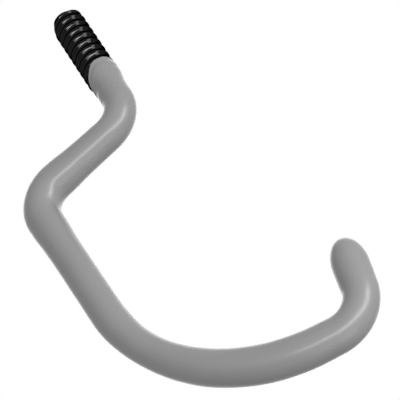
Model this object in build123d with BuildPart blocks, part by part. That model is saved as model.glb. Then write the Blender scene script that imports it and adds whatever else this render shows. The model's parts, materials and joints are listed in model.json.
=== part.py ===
"""Vinyl coated storage hook with a screw-in shank, in millimetres.

One steel rod carries a screw end, drawn at the thread's major diameter. It is bent sideways into a crank, down
into a long leg, round into a wide bowl and up into a short tip. The bent rod is dipped in liquid vinyl up to the
foot of the thread, so the coating follows the rod, swells over the thread's run-out and closes round the tip.
It was dipped at a slant, so its edge falls away on the side that points from the bowl's mouth.

The origin is on the screw's axis, where the bare thread leaves the coating. +Z points up along the screw.
The rod's line lies in the XZ plane and the hook opens towards +X.
"""
import os
from math import cos, radians, sin

from build123d import *

# Screw end of the rod
thread_diameter = 9.5
thread_length = 23.3
lead_taper_length = 1.9
lead_end_diameter = 7.5
runout_length = 4.7

# Rod, and its line from the coating's edge to the tip
rod_diameter = 7.9
shank_length = 12.0
crank_bend_radius = 9.0
crank_bend_angle = 81.5
crank_length = 17.5
leg_bend_radius = 9.2
leg_bend_angle = 84.0
leg_length = 36.2
bowl_radius = 48.4
bowl_angle = 77.5
bowl_floor_length = 3.0
tip_bend_radius = 9.4
tip_bend_angle = 88.5
tip_length = 6.8
point_length = 5.6
point_diameter = 5.0

# Coating
coat_thickness = 0.55
nose_film_thickness = 2.0
nose_taper_angle = 10.0
edge_film_thickness = 0.1
collar_film_thickness = 0.2
collar_length = 1.0
dip_fall_height = 6.5
cut_overrun = 1.0

rod_radius = rod_diameter / 2
thread_radius = thread_diameter / 2
lead_end_radius = lead_end_diameter / 2
point_radius = point_diameter / 2
coat_radius = rod_radius + coat_thickness
collar_radius = thread_radius + collar_film_thickness
nose_length = point_length + nose_film_thickness

# The nose tapers, then closes in a ball that is tangent to the taper
taper_sine = sin(radians(nose_taper_angle))
taper_cosine = cos(radians(nose_taper_angle))
nose_ball_centre = (nose_length - coat_radius * taper_cosine) / (1 - taper_sine)
nose_ball_radius = nose_length - nose_ball_centre

# Line of the bent rod: straight runs joined by tangent bends
with BuildLine(Plane.XZ) as rod_line:
    shank = Line((0, 0), (0, -shank_length))
    crank_bend = JernArc(shank @ 1, shank % 1, crank_bend_radius, -crank_bend_angle)
    crank = PolarLine(crank_bend @ 1, crank_length, direction=crank_bend % 1)
    leg_bend = JernArc(crank @ 1, crank % 1, leg_bend_radius, leg_bend_angle)
    leg = PolarLine(leg_bend @ 1, leg_length, direction=leg_bend % 1)
    bowl = JernArc(leg @ 1, leg % 1, bowl_radius, bowl_angle)
    bowl_floor = PolarLine(bowl @ 1, bowl_floor_length, direction=bowl % 1)
    tip_bend = JernArc(bowl_floor @ 1, bowl_floor % 1, tip_bend_radius, tip_bend_angle)
    tip = PolarLine(tip_bend @ 1, tip_length, direction=tip_bend % 1)

# Half sections of the tip's end lie in this plane, whose x axis runs on along the rod
tip_plane = Plane(origin=tip @ 1, x_dir=tip % 1, z_dir=Plane.XZ.z_dir)
tip_axis = Axis(tip @ 1, tip % 1)

# Steel rod: bent round bar, thread at its major diameter with a tapered start and a run-out, tapered point
with BuildPart() as steel_rod:
    with BuildSketch(Plane.XY):
        Circle(rod_radius)
    sweep(path=rod_line.wire())
    with BuildSketch(Plane.XZ):
        with BuildLine():
            Polyline(
                (0, -runout_length),
                (rod_radius, -runout_length),
                (thread_radius, 0),
                (thread_radius, thread_length - lead_taper_length),
                (lead_end_radius, thread_length),
                (0, thread_length),
                close=True,
            )
        make_face()
    revolve(axis=Axis.Z)
    with BuildSketch(tip_plane):
        with BuildLine():
            Polyline((0, 0), (0, rod_radius), (point_length, point_radius), (point_length, 0), close=True)
        make_face()
    revolve(axis=tip_axis)
steel_rod.part.label = "steel_rod"

# Vinyl coating: an even skin on the bent rod, a collar over the thread's run-out, a slanting edge, a closed nose
with BuildPart() as vinyl_coating:
    with BuildSketch(Plane.XY):
        Circle(coat_radius)
    sweep(path=rod_line.wire())
    with BuildSketch(Plane.XZ):
        with BuildLine():
            Polyline(
                (0, 0),
                (thread_radius + edge_film_thickness, 0),
                (collar_radius, -collar_length),
                (coat_radius, -collar_length - runout_length),
                (0, -collar_length - runout_length),
                close=True,
            )
        make_face()
    revolve(axis=Axis.Z)
    with BuildSketch(Plane.XZ):
        with BuildLine():
            dip_line = EllipticalCenterArc(
                (collar_radius, -dip_fall_height), 2 * collar_radius, dip_fall_height, start_angle=90, arc_size=90
            )
            Polyline(dip_line @ 1, (-collar_radius, cut_overrun), (collar_radius, cut_overrun), dip_line @ 0)
        make_face()
    extrude(amount=collar_radius + cut_overrun, both=True, mode=Mode.SUBTRACT)
    with BuildSketch(tip_plane):
        with BuildLine():
            ball = CenterArc((nose_ball_centre, 0), nose_ball_radius, 0, 90 - nose_taper_angle)
            Polyline(ball @ 1, (0, coat_radius), (0, 0), ball @ 0)
        make_face()
    revolve(axis=tip_axis)
    add(steel_rod.part, mode=Mode.SUBTRACT)
vinyl_coating.part.label = "vinyl_coating"

os.makedirs("parts", exist_ok=True)
export_step(steel_rod.part, "parts/steel_rod.step")
export_step(vinyl_coating.part, "parts/vinyl_coating.step")
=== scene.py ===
"""Looks of a vinyl coated screw hook: its threaded steel rod, its dipped grey skin and a plain studio stage.

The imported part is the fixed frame. Its origin is on the screw's axis where the bare thread leaves the
coating, +Z points to the screw's end, the rod's line lies in the XZ plane and the hook opens towards +X.
All lengths are in metres.
"""

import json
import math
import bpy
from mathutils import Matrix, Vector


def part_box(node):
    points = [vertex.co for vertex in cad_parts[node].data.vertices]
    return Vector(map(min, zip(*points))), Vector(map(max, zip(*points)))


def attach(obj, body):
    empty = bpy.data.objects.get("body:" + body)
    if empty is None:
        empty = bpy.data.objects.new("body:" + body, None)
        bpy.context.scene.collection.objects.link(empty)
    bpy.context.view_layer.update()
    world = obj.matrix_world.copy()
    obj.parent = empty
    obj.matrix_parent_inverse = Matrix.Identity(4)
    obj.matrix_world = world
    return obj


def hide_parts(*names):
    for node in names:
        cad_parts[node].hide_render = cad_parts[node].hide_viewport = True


bl_info = {
    "name": "Vinyl Coated Hook",
    "version": (1, 0, 0),
    "blender": (4, 5, 0),
    "location": "View3D > Sidebar > Hook",
    "description": "Threaded and bent steel rod with a dipped vinyl skin, on a plain studio stage",
    "category": "Object",
}

import bpy
from bpy.props import FloatProperty, FloatVectorProperty, PointerProperty
from mathutils import Quaternion, Vector

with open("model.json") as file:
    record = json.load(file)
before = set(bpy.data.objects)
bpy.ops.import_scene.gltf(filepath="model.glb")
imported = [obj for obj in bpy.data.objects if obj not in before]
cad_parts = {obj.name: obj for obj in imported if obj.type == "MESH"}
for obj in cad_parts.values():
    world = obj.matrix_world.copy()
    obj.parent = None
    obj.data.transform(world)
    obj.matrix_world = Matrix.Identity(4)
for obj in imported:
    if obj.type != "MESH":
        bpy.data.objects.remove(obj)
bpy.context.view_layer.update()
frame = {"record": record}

MM = 0.001
SCREW = next(mount for mount in frame["record"]["mounts"] if mount["name"] == "threaded_shank")
SCREW_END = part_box("steel_rod")[1].z

# Fineness of the meshes: sides of the round sections, steps in a bend, spacing of the rows, and welding
THREAD_SIDES = 120
THREAD_ROWS_PER_TURN = 30
TUBE_SIDES = 56
BEND_STEPS = 60
SKIN_ROW_SPACING = 0.32 * MM
ROD_ROW_SPACING = 0.9 * MM
WELD_DISTANCE = 0.002 * MM

# A face whose normal is at least this upright is a flat end
FLAT_END_FACING = 0.999

# Most of a noise's values lie between low and high, so these are stretched to the whole range
NOISE_LOW = 0.3
NOISE_MIDDLE = 0.5
NOISE_HIGH = 0.7

# Dip line: how late and steeply it falls away, as a power, and how closely its waves follow each other
DIP_STEEPNESS = 3.2
DIP_WAVE_SCALE = 2.6

# The lip at the dip line rises as this power of the way across it, which rounds it
LIP_ROUNDNESS = 0.5

# Thickness of the skin along the rod, from the dip line to the nose: where along it, and how full it is
# there. It is a thin film at the dip line, thin on the neck, heavy round the leg's bend, thin down the leg
# and heavy again along the bottom of the bowl, where the liquid vinyl ran before it set.
SWELL_RANGE = (0.90, 1.15)
SWELL_SHARES = (
    (0.00, 0.00),
    (0.03, 0.02),
    (0.05, 0.20),
    (0.12, 0.26),
    (0.19, 0.50),
    (0.25, 0.80),
    (0.31, 0.68),
    (0.38, 0.31),
    (0.51, 0.31),
    (0.57, 0.10),
    (0.64, 0.28),
    (0.70, 0.52),
    (0.77, 0.55),
    (0.83, 0.48),
    (0.90, 0.30),
    (0.96, 0.45),
    (1.00, 0.45),
)

# Stage: the floor's width and roughness, the camera's sensor in millimetres and the nearest that it sees
FLOOR_SIZE = 12.0
FLOOR_ROUGHNESS = 0.9
SENSOR_WIDTH = 36.0
CLIP_START = 0.01


def linear(hex_colour):
    """Turn an sRGB hex colour into the linear colour that shaders use."""
    channels = [int(hex_colour[i:i + 2], 16) / 255 for i in (1, 3, 5)]
    return tuple(c / 12.92 if c <= 0.04045 else ((c + 0.055) / 1.055) ** 2.4 for c in channels)


def node(tree, kind, inputs=None, **settings):
    """Add a node with its settings, set or link its inputs by name or place, and return it."""
    made = tree.nodes.new(kind)
    for name, value in settings.items():
        setattr(made, name, value)
    for key, value in (inputs or {}).items():
        if isinstance(value, bpy.types.Node):
            value = value.outputs[0]
        if isinstance(value, bpy.types.NodeSocket):
            tree.links.new(value, made.inputs[key])
        else:
            made.inputs[key].default_value = value
    return made


def new_tree(name, lengths):
    """Start a node tree that takes a line, the named sizes and a material, and return it with its inputs."""
    tree = bpy.data.node_groups.new(name, "GeometryNodeTree")
    tree.interface.new_socket("Line", in_out="INPUT", socket_type="NodeSocketGeometry")
    for length in lengths:
        tree.interface.new_socket(length, in_out="INPUT", socket_type="NodeSocketFloat")
    tree.interface.new_socket("Material", in_out="INPUT", socket_type="NodeSocketMaterial")
    tree.interface.new_socket("Piece", in_out="OUTPUT", socket_type="NodeSocketGeometry")
    return tree, node(tree, "NodeGroupInput").outputs


def finish_tree(tree, geometry, material):
    """End a tree: no instances left, and its material set."""
    real = node(tree, "GeometryNodeRealizeInstances", {"Geometry": geometry})
    painted = node(tree, "GeometryNodeSetMaterial", {"Geometry": real, "Material": material})
    node(tree, "NodeGroupOutput", {"Piece": painted})


def bent_line(tree, corners, row_spacing):
    """Round the rod's line to its bend radii, divide it evenly and keep each point's distance along it."""
    curve = node(tree, "GeometryNodeMeshToCurve", {"Mesh": corners})
    bend = node(tree, "GeometryNodeInputNamedAttribute", {"Name": "bend_radius"}, data_type="FLOAT")
    round_line = node(
        tree,
        "GeometryNodeFilletCurve",
        {"Curve": curve, "Radius": bend, "Count": BEND_STEPS},
        mode="POLY",
    )
    even = node(
        tree,
        "GeometryNodeResampleCurve",
        {"Curve": round_line, "Length": row_spacing},
        mode="LENGTH",
    )
    distance = node(tree, "GeometryNodeSplineParameter").outputs["Length"]
    return node(
        tree,
        "GeometryNodeStoreNamedAttribute",
        {"Geometry": even, "Name": "along", "Value": distance},
        data_type="FLOAT",
        domain="POINT",
    )


def round_nosed_tube(tree, line, along, radius, nose_length, capped):
    """Sweep a round section of the given radius along a line, and close its far end as half an ellipsoid."""
    total = node(tree, "GeometryNodeSplineLength").outputs["Length"]
    nose_start = node(tree, "ShaderNodeMath", {0: total, 1: nose_length}, operation="SUBTRACT")
    share = node(tree, "ShaderNodeMapRange", {"Value": along, "From Min": nose_start, "From Max": total})
    angle = node(tree, "ShaderNodeMath", {0: share, 1: math.pi / 2}, operation="MULTIPLY")
    sine = node(tree, "ShaderNodeMath", {0: angle}, operation="SINE")
    cosine = node(tree, "ShaderNodeMath", {0: angle}, operation="COSINE")
    ahead = node(tree, "ShaderNodeMath", {0: sine, 1: share}, operation="SUBTRACT")
    shift = node(tree, "ShaderNodeMath", {0: ahead, 1: nose_length}, operation="MULTIPLY")
    tangent = node(tree, "GeometryNodeInputTangent")
    offset = node(tree, "ShaderNodeVectorMath", {0: tangent, "Scale": shift}, operation="SCALE")
    spaced = node(tree, "GeometryNodeSetPosition", {"Geometry": line, "Offset": offset})
    scale = node(tree, "ShaderNodeMath", {0: radius, 1: cosine}, operation="MULTIPLY")
    ring = node(tree, "GeometryNodeCurvePrimitiveCircle", {"Resolution": TUBE_SIDES, "Radius": 1.0})
    return node(
        tree,
        "GeometryNodeCurveToMesh",
        {"Curve": spaced, "Profile Curve": ring, "Scale": scale, "Fill Caps": capped},
    )


def helix_wave(tree, pitch, turn):
    """Give a wave from -1 to 1 whose crest climbs one pitch for each right-handed turn about the screw."""
    place = node(tree, "ShaderNodeSeparateXYZ", {"Vector": node(tree, "GeometryNodeInputPosition")})
    angle = node(
        tree,
        "ShaderNodeMath",
        {0: place.outputs["Y"], 1: place.outputs["X"]},
        operation="ARCTAN2",
    )
    turns = node(tree, "ShaderNodeMath", {0: place.outputs["Z"], 1: pitch}, operation="DIVIDE")
    climb = node(tree, "ShaderNodeMath", {0: turns, 1: math.tau}, operation="MULTIPLY")
    phase = node(tree, "ShaderNodeMath", {0: climb, 1: angle}, operation="SUBTRACT")
    started = node(tree, "ShaderNodeMath", {0: phase, 1: turn}, operation="SUBTRACT")
    return node(tree, "ShaderNodeMath", {0: started}, operation="COSINE")


def thread_foot(tree, given, height):
    """Give 1 where the thread is full and fall to 0 where it has run out into the rod."""
    full_end = node(tree, "ShaderNodeMath", {0: given["Foot Length"], 1: -1.0}, operation="MULTIPLY")
    rod_start = node(tree, "ShaderNodeMath", {0: full_end, 1: given["Run-out Length"]}, operation="SUBTRACT")
    return node(
        tree,
        "ShaderNodeMapRange",
        {"Value": height, "From Min": rod_start, "From Max": full_end},
        interpolation_type="SMOOTHSTEP",
    )


def screw_blank(tree, given):
    """Fine straight tube of unit radius, from the screw's end down to where the thread has run out."""
    pitch = given["Thread Pitch"]
    top = node(tree, "ShaderNodeCombineXYZ", {"Z": given["Thread Length"]})
    below = node(
        tree,
        "ShaderNodeMath",
        {0: given["Foot Length"], 1: given["Run-out Length"]},
        operation="ADD",
    )
    lowest = node(tree, "ShaderNodeMath", {0: below, 1: -1.0}, operation="MULTIPLY")
    bottom = node(tree, "ShaderNodeCombineXYZ", {"Z": lowest})
    axis = node(tree, "GeometryNodeCurvePrimitiveLine", {"Start": top, "End": bottom})
    row = node(tree, "ShaderNodeMath", {0: pitch, 1: THREAD_ROWS_PER_TURN}, operation="DIVIDE")
    rows = node(tree, "GeometryNodeResampleCurve", {"Curve": axis, "Length": row}, mode="LENGTH")
    ring = node(tree, "GeometryNodeCurvePrimitiveCircle", {"Resolution": THREAD_SIDES, "Radius": 1.0})
    return node(
        tree,
        "GeometryNodeCurveToMesh",
        {"Curve": rows, "Profile Curve": ring, "Fill Caps": True},
    )


def rolled_screw(tree, given):
    """Screw with round crests and roots, an uneven tapered start and a run-out down to the rod."""
    crest = given["Thread Radius"]
    top = given["Thread Length"]
    position = node(tree, "GeometryNodeInputPosition")
    place = node(tree, "ShaderNodeSeparateXYZ", {"Vector": position})
    height = place.outputs["Z"]

    # Thread
    wave = helix_wave(tree, given["Thread Pitch"], given["Thread Turn"])
    root = node(tree, "ShaderNodeMath", {0: crest, 1: given["Thread Depth"]}, operation="SUBTRACT")
    threaded = node(
        tree,
        "ShaderNodeMapRange",
        {"Value": wave, "From Min": -1.0, "From Max": 1.0, "To Min": root, "To Max": crest},
    )

    # Tapered start, longer on one side: X runs from -1 to 1 across the blank
    across = place.outputs["X"]
    uneven = node(tree, "ShaderNodeMath", {0: across, 1: given["Lead Slant"]}, operation="MULTIPLY")
    lead_share = node(tree, "ShaderNodeMath", {0: 1.0, 1: uneven}, operation="SUBTRACT")
    lead_length = node(tree, "ShaderNodeMath", {0: given["Lead Length"], 1: lead_share}, operation="MULTIPLY")
    lead_start = node(tree, "ShaderNodeMath", {0: top, 1: lead_length}, operation="SUBTRACT")
    lead = node(
        tree,
        "ShaderNodeMapRange",
        {
            "Value": height,
            "From Min": lead_start,
            "From Max": top,
            "To Min": crest,
            "To Max": given["Lead Radius"],
        },
    )
    tapered = node(tree, "ShaderNodeMath", {0: threaded, 1: lead}, operation="MINIMUM")

    # Run-out, and the blank drawn in to the radius found
    full = thread_foot(tree, given, height)
    radius = node(tree, "ShaderNodeMix", {"Factor": full, "A": given["Rod Radius"], "B": tapered})
    stretch = node(tree, "ShaderNodeCombineXYZ", {"X": radius, "Y": radius, "Z": 1.0})
    shaped = node(tree, "ShaderNodeVectorMath", {0: position, 1: stretch}, operation="MULTIPLY")
    blank = screw_blank(tree, given)
    return node(tree, "GeometryNodeSetPosition", {"Geometry": blank, "Position": shaped})


def threaded_rod_tree():
    """Bent steel rod with a rounded point, under a screw whose radius rises and falls along a helix."""
    tree, given = new_tree(
        "Threaded bent rod",
        (
            "Rod Radius",
            "Thread Radius",
            "Thread Length",
            "Thread Pitch",
            "Thread Turn",
            "Thread Depth",
            "Lead Length",
            "Lead Slant",
            "Lead Radius",
            "Foot Length",
            "Run-out Length",
            "Point Length",
        ),
    )
    screw = rolled_screw(tree, given)
    along = node(tree, "GeometryNodeInputNamedAttribute", {"Name": "along"}, data_type="FLOAT")
    line = bent_line(tree, given["Line"], ROD_ROW_SPACING)
    rod = round_nosed_tube(tree, line, along, given["Rod Radius"], given["Point Length"], True)

    # Flat ends stay flat, everything else is smooth
    joined = node(tree, "GeometryNodeJoinGeometry", {"Geometry": screw})
    tree.links.new(rod.outputs[0], joined.inputs["Geometry"])
    welded = node(tree, "GeometryNodeMergeByDistance", {"Geometry": joined, "Distance": WELD_DISTANCE})
    facing = node(tree, "ShaderNodeSeparateXYZ", {"Vector": node(tree, "GeometryNodeInputNormal")})
    tilt = node(tree, "ShaderNodeMath", {0: facing.outputs["Z"]}, operation="ABSOLUTE")
    round_face = node(tree, "FunctionNodeCompare", {"A": tilt, "B": FLAT_END_FACING}, operation="LESS_THAN")
    smooth = node(tree, "GeometryNodeSetShadeSmooth", {"Geometry": welded, "Shade Smooth": round_face})
    finish_tree(tree, smooth, given["Material"])
    return tree


def swollen_radius(tree, given, along, lip):
    """Radius of the skin's outer side, which swells along the rod and rises from it at the dip line."""
    total = node(tree, "GeometryNodeSplineLength").outputs["Length"]
    share = node(tree, "ShaderNodeMath", {0: along, 1: total}, operation="DIVIDE")
    swell_curve = node(tree, "ShaderNodeFloatCurve", {"Value": share})
    points = swell_curve.mapping.curves[0].points
    points[0].location = SWELL_SHARES[0]
    points[-1].location = SWELL_SHARES[-1]
    for where, fullness in SWELL_SHARES[1:-1]:
        points.new(where, fullness)
    swell_curve.mapping.update()
    thinnest, thickest = SWELL_RANGE
    swell = node(tree, "ShaderNodeMapRange", {"Value": swell_curve, "To Min": thinnest, "To Max": thickest})
    full = node(tree, "ShaderNodeMath", {0: given["Skin Radius"], 1: swell}, operation="MULTIPLY")
    return node(tree, "ShaderNodeMix", {"Factor": lip, "A": given["Rod Radius"], "B": full})


def dip_fall(tree, given, along, radial):
    """Drop of the neck at the dip line, level towards +X and falling away towards -X, a little wavy."""
    toward = node(tree, "ShaderNodeVectorMath", {0: radial, 1: (1.0, 0.0, 0.0)}, operation="DOT_PRODUCT")
    away = node(
        tree,
        "ShaderNodeMapRange",
        {"Value": toward.outputs["Value"], "From Min": 1.0, "From Max": -1.0},
    )
    falling = node(tree, "ShaderNodeMath", {0: away, 1: DIP_STEEPNESS}, operation="POWER")
    fall = node(tree, "ShaderNodeMath", {0: falling, 1: given["Dip Drop"]}, operation="MULTIPLY")
    runs = node(tree, "ShaderNodeTexNoise", {"Vector": radial, "Scale": DIP_WAVE_SCALE, "Detail": 1.0})
    wavy = node(
        tree,
        "ShaderNodeMapRange",
        {"Value": runs, "From Min": NOISE_LOW, "From Max": NOISE_HIGH, "To Max": given["Dip Wave"]},
    )
    drop = node(tree, "ShaderNodeMath", {0: fall, 1: wavy}, operation="ADD")
    hold = node(
        tree,
        "ShaderNodeMapRange",
        {"Value": along, "From Max": given["Dip Reach"], "To Min": -1.0, "To Max": 0.0},
    )
    return node(tree, "ShaderNodeMath", {0: drop, 1: hold}, operation="MULTIPLY")


def dipped_skin_tree():
    """Vinyl skin on the bent rod: uneven as it set, closed round the tip, open at a slanting dip line."""
    tree, given = new_tree(
        "Dipped vinyl skin",
        (
            "Rod Radius",
            "Skin Radius",
            "Lip Length",
            "Nose Length",
            "Point Length",
            "Dip Drop",
            "Dip Reach",
            "Dip Wave",
            "Collar Swell",
            "Root Swell",
            "Foot Length",
            "Run-out Length",
            "Thread Pitch",
            "Thread Turn",
            "Ripple Height",
            "Ripple Reach",
            "Unevenness",
            "Unevenness Size",
        ),
    )
    along = node(tree, "GeometryNodeInputNamedAttribute", {"Name": "along"}, data_type="FLOAT")
    line = bent_line(tree, given["Line"], SKIN_ROW_SPACING)

    # Outer side, with a rounded lip that rises from the rod at the dip line
    on_skin = node(tree, "ShaderNodeMapRange", {"Value": along, "From Max": given["Lip Length"]})
    lip = node(tree, "ShaderNodeMath", {0: on_skin, 1: LIP_ROUNDNESS}, operation="POWER")
    radius = swollen_radius(tree, given, along, lip)
    outside = round_nosed_tube(tree, line, along, radius, given["Nose Length"], False)

    # Both sides of the neck follow the dip line
    position = node(tree, "GeometryNodeInputPosition")
    outward = node(tree, "ShaderNodeVectorMath", {0: position, 1: (1.0, 1.0, 0.0)}, operation="MULTIPLY")
    radial = node(tree, "ShaderNodeVectorMath", {0: outward}, operation="NORMALIZE")
    lowered = dip_fall(tree, given, along, radial)
    dip_offset = node(tree, "ShaderNodeCombineXYZ", {"Z": lowered})

    # Over the foot of the thread the skin fills the roots and swells past the crests
    place = node(tree, "ShaderNodeSeparateXYZ", {"Vector": position})
    height = node(tree, "ShaderNodeMath", {0: place.outputs["Z"], 1: lowered}, operation="ADD")
    full_foot = thread_foot(tree, given, height)
    swelling = node(
        tree,
        "ShaderNodeMix",
        {"Factor": lip, "A": given["Root Swell"], "B": given["Collar Swell"]},
    )
    collar = node(tree, "ShaderNodeMath", {0: swelling, 1: full_foot}, operation="MULTIPLY")
    root_fill = node(tree, "ShaderNodeMath", {0: given["Root Swell"], 1: full_foot}, operation="MULTIPLY")
    root_offset = node(tree, "ShaderNodeVectorMath", {0: radial, "Scale": root_fill}, operation="SCALE")
    seat_offset = node(tree, "ShaderNodeVectorMath", {0: root_offset, 1: dip_offset}, operation="ADD")

    # The turns under the skin show through it as ripples that fade down the neck
    wave = helix_wave(tree, given["Thread Pitch"], given["Thread Turn"])
    fade = node(
        tree,
        "ShaderNodeMapRange",
        {"Value": along, "From Max": given["Ripple Reach"], "To Min": given["Ripple Height"], "To Max": 0.0},
        interpolation_type="SMOOTHSTEP",
    )
    turns = node(tree, "ShaderNodeMath", {0: wave, 1: fade}, operation="MULTIPLY")
    ripple = node(tree, "ShaderNodeMath", {0: turns, 1: on_skin}, operation="MULTIPLY")
    bulge = node(tree, "ShaderNodeMath", {0: collar, 1: ripple}, operation="ADD")
    bulge_offset = node(tree, "ShaderNodeVectorMath", {0: radial, "Scale": bulge}, operation="SCALE")

    # Slow unevenness all over the skin
    lumps = node(tree, "ShaderNodeMath", {0: 1.0, 1: given["Unevenness Size"]}, operation="DIVIDE")
    noise = node(tree, "ShaderNodeTexNoise", {"Vector": position, "Scale": lumps, "Detail": 1.5})
    centred = node(tree, "ShaderNodeMath", {0: noise, 1: NOISE_MIDDLE}, operation="SUBTRACT")
    lump = node(tree, "ShaderNodeMath", {0: centred, 1: given["Unevenness"]}, operation="MULTIPLY")
    normal = node(tree, "GeometryNodeInputNormal")
    lump_offset = node(tree, "ShaderNodeVectorMath", {0: normal, "Scale": lump}, operation="SCALE")
    skin_lump = node(tree, "ShaderNodeVectorMath", {0: lump_offset, "Scale": on_skin}, operation="SCALE")
    set_skin = node(tree, "ShaderNodeVectorMath", {0: bulge_offset, 1: skin_lump}, operation="ADD")
    offset = node(tree, "ShaderNodeVectorMath", {0: set_skin, 1: dip_offset}, operation="ADD")
    outer = node(tree, "GeometryNodeSetPosition", {"Geometry": outside, "Offset": offset})

    # Inner side on the rod, turned to face it, and joined to the outer side along the dip line
    point = given["Point Length"]
    line_length = node(tree, "GeometryNodeCurveLength", {"Curve": line})
    nose_film = node(tree, "ShaderNodeMath", {0: given["Nose Length"], 1: point}, operation="SUBTRACT")
    rod_length = node(tree, "ShaderNodeMath", {0: line_length, 1: nose_film}, operation="SUBTRACT")
    short = node(tree, "GeometryNodeTrimCurve", {"Curve": line, 5: rod_length}, mode="LENGTH")
    short_line = node(
        tree,
        "GeometryNodeResampleCurve",
        {"Curve": short, "Length": ROD_ROW_SPACING},
        mode="LENGTH",
    )
    inside = round_nosed_tube(tree, short_line, along, given["Rod Radius"], point, False)
    seated = node(tree, "GeometryNodeSetPosition", {"Geometry": inside, "Offset": seat_offset})
    inner = node(tree, "GeometryNodeFlipFaces", {"Mesh": seated})
    joined = node(tree, "GeometryNodeJoinGeometry", {"Geometry": outer})
    tree.links.new(inner.outputs[0], joined.inputs["Geometry"])
    welded = node(tree, "GeometryNodeMergeByDistance", {"Geometry": joined, "Distance": WELD_DISTANCE})
    smooth = node(tree, "GeometryNodeSetShadeSmooth", {"Geometry": welded})
    finish_tree(tree, smooth, given["Material"])
    return tree


def new_material(name):
    """Start a procedural material, and return it with its tree, its shader and the place on the piece."""
    material = bpy.data.materials.new(name)
    material.use_nodes = True
    tree = material.node_tree
    place = node(tree, "ShaderNodeTexCoord").outputs["Object"]
    return material, tree, tree.nodes["Principled BSDF"], place


def dip_moulded_vinyl(finish):
    """Grey PVC plastisol, dipped and fused in an oven."""
    # The fused skin is satin: an even grey with faint clouds, a soft narrow gleam and a fine orange peel.
    pvc_ior = 1.53
    cloud_size = 9.0 * MM
    peel_size = 1.6 * MM
    peel_height = 0.03 * MM
    peel_strength = 0.25
    material, tree, shader, place = new_material("Dip-moulded grey vinyl")
    shader.inputs["Roughness"].default_value = finish.roughness
    shader.inputs["IOR"].default_value = pvc_ior
    shader.inputs["Specular IOR Level"].default_value = finish.gleam
    clouds = node(tree, "ShaderNodeTexNoise", {"Vector": place, "Scale": 1 / cloud_size, "Detail": 3.0})
    colour = node(
        tree,
        "ShaderNodeMix",
        {"Factor": clouds.outputs["Fac"], 6: (*finish.dark, 1.0), 7: (*finish.light, 1.0)},
        data_type="RGBA",
    )
    tree.links.new(colour.outputs[2], shader.inputs["Base Color"])
    peel = node(tree, "ShaderNodeTexNoise", {"Vector": place, "Scale": 1 / peel_size, "Detail": 2.0})
    bump = node(
        tree,
        "ShaderNodeBump",
        {"Height": peel.outputs["Fac"], "Strength": peel_strength, "Distance": peel_height},
    )
    tree.links.new(bump.outputs["Normal"], shader.inputs["Normal"])
    return material


def black_oxide_steel(finish):
    """Rolled low-carbon steel, blackened by hot oxide and lightly oiled."""
    # The oxide is near black and keeps the steel's own gloss, so the flanks gleam in thin lines.
    grain_size = 0.8 * MM
    grain_reach = 0.02
    material, tree, shader, place = new_material("Black oxide steel")
    shader.inputs["Metallic"].default_value = 1.0
    shader.inputs["Base Color"].default_value = (*finish.colour, 1.0)
    shader.inputs["Specular Tint"].default_value = (*finish.edge_colour, 1.0)
    grain = node(tree, "ShaderNodeTexNoise", {"Vector": place, "Scale": 1 / grain_size, "Detail": 3.0})
    rough = node(
        tree,
        "ShaderNodeMapRange",
        {
            "Value": grain.outputs["Fac"],
            "From Min": NOISE_LOW,
            "From Max": NOISE_HIGH,
            "To Min": finish.roughness - grain_reach,
            "To Max": finish.roughness + grain_reach,
        },
    )
    tree.links.new(rough.outputs["Result"], shader.inputs["Roughness"])
    return material


def rod_corners(rod, start_height, end_length):
    """Corners of the rod's line with the bend radius at each, from a height on the screw to past the tip."""
    runs = (
        (rod.shank_length, rod.crank_bend_radius, -rod.crank_bend_angle),
        (rod.crank_length, rod.leg_bend_radius, rod.leg_bend_angle),
        (rod.leg_length, rod.bowl_radius, rod.bowl_angle),
        (rod.floor_length, rod.tip_bend_radius, rod.tip_bend_angle),
    )
    point = Vector((0.0, 0.0, start_height))
    heading = -math.pi / 2
    corners = [(point.copy(), 0.0)]
    behind = start_height
    for run, radius, turn in runs:
        reach = radius * math.tan(abs(turn) / 2)
        point += (behind + run + reach) * Vector((math.cos(heading), 0.0, math.sin(heading)))
        corners.append((point.copy(), radius))
        heading += turn
        behind = reach
    point += (behind + rod.tip_length + end_length) * Vector((math.cos(heading), 0.0, math.sin(heading)))
    corners.append((point.copy(), 0.0))
    return corners


def grow_piece(context, name, tree, corners, values):
    """Grow a piece from the rod's line with a node tree, and keep it as a plain mesh."""
    line = bpy.data.meshes.new(name)
    edges = [(i, i + 1) for i in range(len(corners) - 1)]
    line.from_pydata([place for place, radius in corners], edges, [])
    bends = line.attributes.new("bend_radius", "FLOAT", "POINT")
    bends.data.foreach_set("value", [radius for place, radius in corners])
    piece = bpy.data.objects.new(name, line)
    modifier = piece.modifiers.new(tree.name, "NODES")
    modifier.node_group = tree
    for socket in tree.interface.items_tree:
        if socket.in_out == "INPUT" and socket.name in values:
            modifier[socket.identifier] = values[socket.name]
    context.scene.collection.objects.link(piece)
    mesh = bpy.data.meshes.new_from_object(piece.evaluated_get(context.evaluated_depsgraph_get()))
    if not mesh.polygons:
        raise RuntimeError(f"{name} came out empty")
    piece.modifiers.remove(modifier)
    piece.data = mesh
    bpy.data.meshes.remove(line)
    return piece


def backdrop_ray(tree):
    """Give 1 on rays that see the backdrop, straight, mirrored or through glass, and 0 on rays that light."""
    path = node(tree, "ShaderNodeLightPath").outputs
    seen = node(
        tree,
        "ShaderNodeMath",
        {0: path["Is Camera Ray"], 1: path["Is Glossy Ray"]},
        operation="MAXIMUM",
    )
    return node(tree, "ShaderNodeMath", {0: seen, 1: path["Is Transmission Ray"]}, operation="MAXIMUM")


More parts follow.
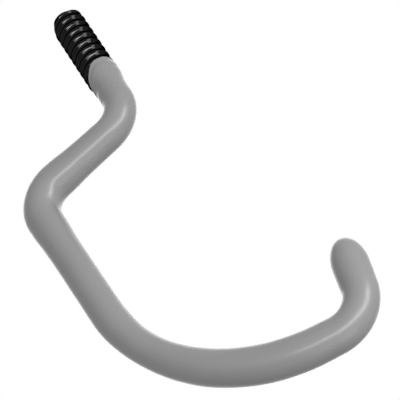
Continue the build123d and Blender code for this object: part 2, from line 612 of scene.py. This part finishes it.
def lay_floor(context, stage):
    """Pale matt floor, low enough for a camera that looks up from below, and seen pale in dim light too."""
    bpy.ops.mesh.primitive_plane_add(size=FLOOR_SIZE, location=(0.0, 0.0, stage.floor_height))
    floor = context.object
    floor.name = "studio_floor"
    paint = bpy.data.materials.new("Pale matt floor paint")
    paint.use_nodes = True
    tree = paint.node_tree
    shader = tree.nodes["Principled BSDF"]
    shader.inputs["Base Color"].default_value = (*stage.floor_colour, 1.0)
    shader.inputs["Roughness"].default_value = FLOOR_ROUGHNESS
    shader.inputs["Emission Color"].default_value = (*stage.floor_colour, 1.0)
    glow = node(tree, "ShaderNodeMapRange", {"Value": backdrop_ray(tree), "To Max": stage.floor_glow})
    tree.links.new(glow.outputs["Result"], shader.inputs["Emission Strength"])
    floor.data.materials.append(paint)


def hang_backdrop(scene, stage):
    """White world that the camera and reflections see, and a softer fill on the surfaces."""
    world = bpy.data.worlds.new("White studio")
    world.use_nodes = True
    scene.world = world
    tree = world.node_tree
    strength = node(
        tree,
        "ShaderNodeMapRange",
        {"Value": backdrop_ray(tree), "To Min": stage.fill, "To Max": 1.0},
    )
    background = tree.nodes["Background"]
    background.inputs["Color"].default_value = (1.0, 1.0, 1.0, 1.0)
    tree.links.new(strength.outputs["Result"], background.inputs["Strength"])


def place_lamps(scene, stage, aim):
    """Soft box on the right, a wide strip in front that draws the gleams, soft boxes below and behind."""
    for name, power, width, height, offset in (
        ("side_box", stage.key_power, stage.key_size, stage.key_size, stage.key_place),
        ("front_strip", stage.front_power, stage.front_width, stage.front_size, stage.front_place),
        ("low_box", stage.low_power, stage.low_size, stage.low_size, stage.low_place),
        ("back_box", stage.back_power, stage.back_size, stage.back_size, stage.back_place),
    ):
        light = bpy.data.lights.new(name, "AREA")
        light.shape = "RECTANGLE"
        light.energy = power
        light.size = width
        light.size_y = height
        place = Vector(offset)
        lamp = bpy.data.objects.new(name, light)
        lamp.location = aim + place
        lamp.rotation_euler = (-place).to_track_quat("-Z", "Y").to_euler()
        scene.collection.objects.link(lamp)


def place_camera(scene, stage, aim):
    """Camera below and in front of the hook, turned so that the screw leans to the left."""
    level = math.cos(stage.camera_elevation)
    back = Vector(
        (
            level * math.sin(stage.camera_azimuth),
            -level * math.cos(stage.camera_azimuth),
            math.sin(stage.camera_elevation),
        )
    )
    lens = bpy.data.cameras.new("camera")
    lens.lens = stage.camera_lens
    lens.sensor_width = SENSOR_WIDTH
    lens.clip_start = CLIP_START
    camera = bpy.data.objects.new("camera", lens)
    camera.location = aim + stage.camera_distance * back
    upright = (-back).to_track_quat("-Z", "Y")
    turned = upright @ Quaternion((0.0, 0.0, 1.0), -stage.camera_roll)
    camera.rotation_euler = turned.to_euler()
    scene.collection.objects.link(camera)
    scene.camera = camera


class HookRod(bpy.types.PropertyGroup):
    """Sizes of the steel rod and the colour of its bare screw."""

    diameter: FloatProperty(
        name="Rod Diameter", description="Diameter of the bar", default=7.9 * MM, unit="LENGTH"
    )
    thread_diameter: FloatProperty(
        name="Thread Diameter",
        description="Diameter over the thread's crests",
        default=2 * SCREW["dims"]["r_mm"] * MM,
        unit="LENGTH",
    )
    thread_length: FloatProperty(
        name="Thread Length", description="Bare screw above the coating", default=SCREW_END, unit="LENGTH"
    )
    thread_pitch: FloatProperty(
        name="Thread Pitch", description="Climb of the thread in one turn", default=2.8 * MM, unit="LENGTH"
    )
    thread_turn: FloatProperty(
        name="Thread Turn",
        description="Where round the screw a turn starts",
        default=math.radians(116.0),
        subtype="ANGLE",
    )
    thread_depth: FloatProperty(
        name="Thread Depth", description="Crest to root of the thread", default=0.74 * MM, unit="LENGTH"
    )
    lead_length: FloatProperty(
        name="Lead Length",
        description="Tapered start of the screw",
        default=SCREW_END - SCREW["dims"]["length_mm"] * MM,
        unit="LENGTH",
    )
    lead_slant: FloatProperty(
        name="Lead Slant",
        description="How much longer the tapered start is on one side",
        default=0.7,
        subtype="FACTOR",
    )
    lead_diameter: FloatProperty(
        name="Lead Diameter", description="Flat at the screw's end", default=7.5 * MM, unit="LENGTH"
    )
    foot_length: FloatProperty(
        name="Foot Length", description="Full thread below the dip line", default=3.2 * MM, unit="LENGTH"
    )
    run_out_length: FloatProperty(
        name="Run-out Length",
        description="Height in which the thread fades into the rod",
        default=6.0 * MM,
        unit="LENGTH",
    )
    shank_length: FloatProperty(
        name="Shank Length",
        description="Straight run below the dip line",
        default=12.0 * MM,
        unit="LENGTH",
    )
    crank_bend_radius: FloatProperty(
        name="Crank Bend Radius",
        description="Bend from the shank to the crank",
        default=9.0 * MM,
        unit="LENGTH",
    )
    crank_bend_angle: FloatProperty(
        name="Crank Bend Angle",
        description="Turn of that bend",
        default=math.radians(81.5),
        subtype="ANGLE",
    )
    crank_length: FloatProperty(
        name="Crank Length", description="Straight run out to the side", default=17.5 * MM, unit="LENGTH"
    )
    leg_bend_radius: FloatProperty(
        name="Leg Bend Radius",
        description="Bend from the crank to the leg",
        default=9.2 * MM,
        unit="LENGTH",
    )
    leg_bend_angle: FloatProperty(
        name="Leg Bend Angle",
        description="Turn of that bend",
        default=math.radians(84.0),
        subtype="ANGLE",
    )
    leg_length: FloatProperty(
        name="Leg Length", description="Straight run down to the bowl", default=36.2 * MM, unit="LENGTH"
    )
    bowl_radius: FloatProperty(
        name="Bowl Radius", description="Radius of the wide bowl", default=48.4 * MM, unit="LENGTH"
    )
    bowl_angle: FloatProperty(
        name="Bowl Angle", description="Turn of the bowl", default=math.radians(77.5), subtype="ANGLE"
    )
    floor_length: FloatProperty(
        name="Bowl Floor Length",
        description="Straight run before the tip's bend",
        default=3.0 * MM,
        unit="LENGTH",
    )
    tip_bend_radius: FloatProperty(
        name="Tip Bend Radius",
        description="Bend from the bowl to the tip",
        default=9.4 * MM,
        unit="LENGTH",
    )
    tip_bend_angle: FloatProperty(
        name="Tip Bend Angle",
        description="Turn of that bend",
        default=math.radians(88.5),
        subtype="ANGLE",
    )
    tip_length: FloatProperty(
        name="Tip Length", description="Straight run up to the nose", default=6.8 * MM, unit="LENGTH"
    )
    point_length: FloatProperty(
        name="Point Length",
        description="Rounded end of the rod inside the nose",
        default=5.6 * MM,
        unit="LENGTH",
    )
    colour: FloatVectorProperty(
        name="Oxide Colour",
        description="Black oxide on the bare screw",
        default=linear("#1f1f20"),
        subtype="COLOR",
    )
    edge_colour: FloatVectorProperty(
        name="Edge Colour",
        description="Tint of the oxide seen edge on",
        default=linear("#2b2b2c"),
        subtype="COLOR",
    )
    roughness: FloatProperty(
        name="Oxide Roughness", description="Roughness of the bare screw", default=0.1, subtype="FACTOR"
    )


class HookSkin(bpy.types.PropertyGroup):
    """Sizes and finish of the dipped vinyl skin."""

    thickness: FloatProperty(
        name="Skin Thickness", description="Mean thickness on the rod", default=0.55 * MM, unit="LENGTH"
    )
    nose_film: FloatProperty(
        name="Nose Film",
        description="Thickness in front of the rod's point",
        default=2.0 * MM,
        unit="LENGTH",
    )
    lip_length: FloatProperty(
        name="Lip Length", description="Rounded edge at the dip line", default=0.5 * MM, unit="LENGTH"
    )
    dip_rise: FloatProperty(
        name="Dip Rise",
        description="Height of the dip line where it is highest",
        default=0.7 * MM,
        unit="LENGTH",
    )
    dip_drop: FloatProperty(
        name="Dip Drop",
        description="How far the dip line falls on its low side",
        default=7.0 * MM,
        unit="LENGTH",
    )
    dip_wave: FloatProperty(
        name="Dip Wave", description="Waviness of the dip line", default=0.4 * MM, unit="LENGTH"
    )
    dip_reach: FloatProperty(
        name="Dip Reach",
        description="Length of neck that follows the slant of the dip line",
        default=11.5 * MM,
        unit="LENGTH",
    )
    ripple_height: FloatProperty(
        name="Ripple Height",
        description="Thread turns that show through the skin",
        default=0.12 * MM,
        unit="LENGTH",
    )
    ripple_reach: FloatProperty(
        name="Ripple Reach", description="Where the ripples have faded", default=7.0 * MM, unit="LENGTH"
    )
    unevenness: FloatProperty(
        name="Unevenness",
        description="Slow swelling and thinning of the skin",
        default=0.25 * MM,
        unit="LENGTH",
    )
    unevenness_size: FloatProperty(
        name="Unevenness Size", description="Width of one swelling", default=14.0 * MM, unit="LENGTH"
    )
    light: FloatVectorProperty(
        name="Light Grey",
        description="Vinyl where it clouds light",
        default=linear("#8d8d8d"),
        subtype="COLOR",
    )
    dark: FloatVectorProperty(
        name="Dark Grey",
        description="Vinyl where it clouds dark",
        default=linear("#868686"),
        subtype="COLOR",
    )
    roughness: FloatProperty(
        name="Vinyl Roughness", description="Satin of the fused skin", default=0.32, subtype="FACTOR"
    )
    gleam: FloatProperty(
        name="Vinyl Gleam",
        description="Strength of the mirror reflection",
        default=0.45,
        subtype="FACTOR",
    )


class HookStage(bpy.types.PropertyGroup):
    """Camera, lights and floor."""

    camera_azimuth: FloatProperty(
        name="Camera Azimuth",
        description="From the front towards +X",
        default=math.radians(2.914),
        subtype="ANGLE",
    )
    camera_elevation: FloatProperty(
        name="Camera Elevation",
        description="Above the level",
        default=math.radians(-41.044),
        subtype="ANGLE",
    )
    camera_roll: FloatProperty(
        name="Camera Roll",
        description="Clockwise turn of the camera",
        default=math.radians(33.896),
        subtype="ANGLE",
    )
    camera_aim: FloatVectorProperty(
        name="Camera Aim",
        description="Point in the middle of the picture",
        default=(2.91 * MM, 4.83 * MM, -53.41 * MM),
        subtype="TRANSLATION",
    )
    camera_distance: FloatProperty(
        name="Camera Distance", description="From the aim", default=502.96 * MM, unit="LENGTH"
    )
    camera_lens: FloatProperty(
        name="Camera Lens", description="Focal length in millimetres", default=180.54, unit="CAMERA"
    )
    key_power: FloatProperty(
        name="Key Power", description="Power of the side lamp", default=1.7, unit="POWER"
    )
    key_size: FloatProperty(
        name="Key Size", description="Width of the side lamp", default=0.25, unit="LENGTH"
    )
    key_place: FloatVectorProperty(
        name="Key Place",
        description="Side lamp, from the aim",
        default=(0.612, -0.325, -0.097),
        subtype="TRANSLATION",
    )
    front_power: FloatProperty(
        name="Front Power", description="Power of the front lamp", default=5.2, unit="POWER"
    )
    front_size: FloatProperty(
        name="Front Size", description="Height of the front lamp", default=0.05, unit="LENGTH"
    )
    front_width: FloatProperty(
        name="Front Width", description="Width of the front lamp", default=1.1, unit="LENGTH"
    )
    front_place: FloatVectorProperty(
        name="Front Place",
        description="Front lamp, from the aim",
        default=(0.272, -0.610, -0.340),
        subtype="TRANSLATION",
    )
    back_power: FloatProperty(
        name="Back Power", description="Power of the back lamp", default=3.4, unit="POWER"
    )
    back_size: FloatProperty(
        name="Back Size", description="Width of the back lamp", default=1.0, unit="LENGTH"
    )
    back_place: FloatVectorProperty(
        name="Back Place",
        description="Back lamp, from the aim",
        default=(-0.031, 0.603, 0.526),
        subtype="TRANSLATION",
    )
    low_power: FloatProperty(
        name="Low Power", description="Power of the low lamp", default=0.6, unit="POWER"
    )
    low_size: FloatProperty(
        name="Low Size", description="Width of the low lamp", default=0.4, unit="LENGTH"
    )
    low_place: FloatVectorProperty(
        name="Low Place",
        description="Low lamp, from the aim",
        default=(0.05, -0.2, -0.56),
        subtype="TRANSLATION",
    )
    fill: FloatProperty(name="Fill", description="Soft light from all round", default=0.18, subtype="FACTOR")
    floor_height: FloatProperty(
        name="Floor Height", description="Floor below the hook", default=-1.6, unit="LENGTH"
    )
    floor_colour: FloatVectorProperty(
        name="Floor Colour", description="Pale studio floor", default=linear("#ececec"), subtype="COLOR"
    )
    floor_glow: FloatProperty(
        name="Floor Glow",
        description="Paleness that is seen and mirrored, and lights nothing",
        default=0.7,
        subtype="FACTOR",
    )


class HOOK_OT_rod(bpy.types.Operator):
    """Build the bent steel rod with its rolled thread"""

    bl_idname = "hook.rod"
    bl_label = "Threaded Rod"

    def execute(self, context):
        rod = context.scene.hook_rod
        values = {
            "Rod Radius": rod.diameter / 2,
            "Thread Radius": rod.thread_diameter / 2,
            "Thread Length": rod.thread_length,
            "Thread Pitch": rod.thread_pitch,
            "Thread Turn": rod.thread_turn,
            "Thread Depth": rod.thread_depth,
            "Lead Length": rod.lead_length,
            "Lead Slant": rod.lead_slant,
            "Lead Radius": rod.lead_diameter / 2,
            "Foot Length": rod.foot_length,
            "Run-out Length": rod.run_out_length,
            "Point Length": rod.point_length,
            "Material": black_oxide_steel(rod),
        }
        corners = rod_corners(rod, -rod.foot_length - rod.run_out_length, rod.point_length)
        piece = grow_piece(context, "threaded_rod", threaded_rod_tree(), corners, values)
        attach(piece, "root")
        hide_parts("steel_rod")
        return {"FINISHED"}


class HOOK_OT_skin(bpy.types.Operator):
    """Build the dipped vinyl skin that follows the rod"""

    bl_idname = "hook.skin"
    bl_label = "Dipped Skin"

    def execute(self, context):
        rod = context.scene.hook_rod
        skin = context.scene.hook_skin
        thread_rise = (rod.thread_diameter - rod.diameter) / 2
        values = {
            "Rod Radius": rod.diameter / 2,
            "Skin Radius": rod.diameter / 2 + skin.thickness,
            "Lip Length": skin.lip_length,
            "Nose Length": rod.point_length + skin.nose_film,
            "Point Length": rod.point_length,
            "Dip Drop": skin.dip_drop,
            "Dip Reach": skin.dip_reach,
            "Dip Wave": skin.dip_wave,
            "Collar Swell": thread_rise,
            "Root Swell": thread_rise - rod.thread_depth,
            "Foot Length": rod.foot_length,
            "Run-out Length": rod.run_out_length,
            "Thread Pitch": rod.thread_pitch,
            "Thread Turn": rod.thread_turn,
            "Ripple Height": skin.ripple_height,
            "Ripple Reach": skin.ripple_reach,
            "Unevenness": skin.unevenness,
            "Unevenness Size": skin.unevenness_size,
            "Material": dip_moulded_vinyl(skin),
        }
        corners = rod_corners(rod, skin.dip_rise, rod.point_length + skin.nose_film)
        piece = grow_piece(context, "dipped_skin", dipped_skin_tree(), corners, values)
        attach(piece, "root")
        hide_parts("vinyl_coating")
        return {"FINISHED"}


class HOOK_OT_stage(bpy.types.Operator):
    """Set up the floor, the light and the camera"""

    bl_idname = "hook.stage"
    bl_label = "Studio Stage"

    def execute(self, context):
        scene = context.scene
        stage = scene.hook_stage
        aim = Vector(stage.camera_aim)
        scene.view_settings.view_transform = "Standard"
        lay_floor(context, stage)
        hang_backdrop(scene, stage)
        place_lamps(scene, stage, aim)
        place_camera(scene, stage, aim)
        return {"FINISHED"}


class HOOK_PT_panel(bpy.types.Panel):
    """Sidebar panel with the hook's pieces and sizes"""

    bl_idname = "HOOK_PT_panel"
    bl_label = "Vinyl Coated Hook"
    bl_space_type = "VIEW_3D"
    bl_region_type = "UI"
    bl_category = "Hook"

    def draw(self, context):
        groups = {"hook.rod": "hook_rod", "hook.skin": "hook_skin", "hook.stage": "hook_stage"}
        for operator, group in groups.items():
            box = self.layout.box()
            box.operator(operator)
            sizes = getattr(context.scene, group)
            for name in sizes.bl_rna.properties.keys():
                if name not in ("rna_type", "name"):
                    box.prop(sizes, name)


CLASSES = (HookRod, HookSkin, HookStage, HOOK_OT_rod, HOOK_OT_skin, HOOK_OT_stage, HOOK_PT_panel)


def register():
    for cls in CLASSES:
        bpy.utils.register_class(cls)
    bpy.types.Scene.hook_rod = PointerProperty(type=HookRod)
    bpy.types.Scene.hook_skin = PointerProperty(type=HookSkin)
    bpy.types.Scene.hook_stage = PointerProperty(type=HookStage)


def unregister():
    del bpy.types.Scene.hook_stage
    del bpy.types.Scene.hook_skin
    del bpy.types.Scene.hook_rod
    for cls in reversed(CLASSES):
        bpy.utils.unregister_class(cls)


def main():
    register()
    bpy.ops.hook.rod()
    bpy.ops.hook.skin()
    bpy.ops.hook.stage()


if __name__ == "__main__":
    main()
